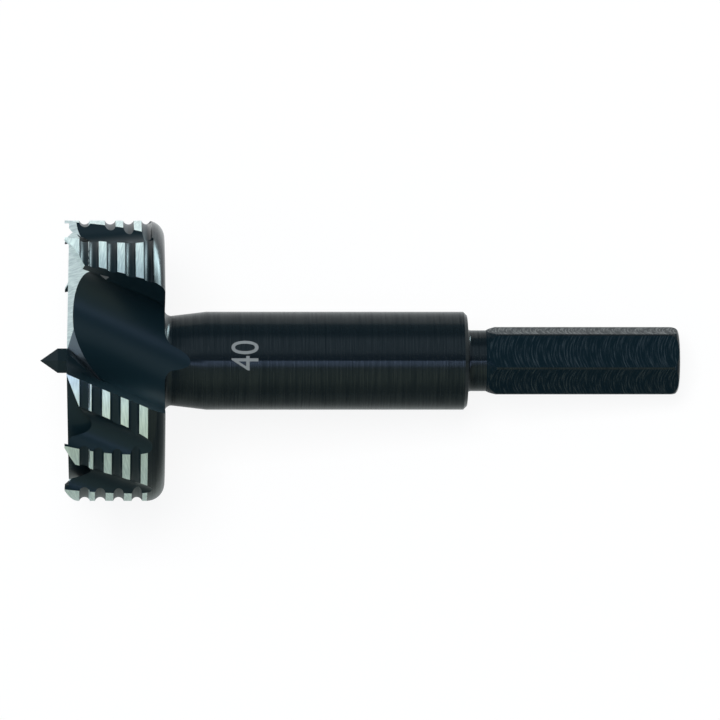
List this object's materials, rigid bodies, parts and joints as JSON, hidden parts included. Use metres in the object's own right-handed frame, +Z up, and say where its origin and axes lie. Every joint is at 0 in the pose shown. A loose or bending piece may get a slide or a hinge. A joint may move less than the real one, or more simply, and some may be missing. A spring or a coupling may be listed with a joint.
{
  "type": "forstner bit",
  "caption": "Wave-rim forstner bit with a toothed cutting rim, open chip flutes, a square centre point, a round shank and a hex end for a drill chuck; it bores flat-bottomed holes in wood.",
  "frame": {"origin": "on the table, under the middle of the lying bit's footprint", "axes": "+X along the table from the centre point toward the hex end, +Z up from the table; the bit lies on two rim edges of one flute and on its hex end, so its own axis falls 10 degrees toward +X"},
  "size_m": [0.0905, 0.04, 0.039],
  "materials": {
    "black_oxide_steel": "glossy black oxide on turned tool steel, with the rim lands and front faces ground bright"
  },
  "bodies": {
    "root": {"forstner_bit": "black_oxide_steel"}
  },
  "joints": []
}
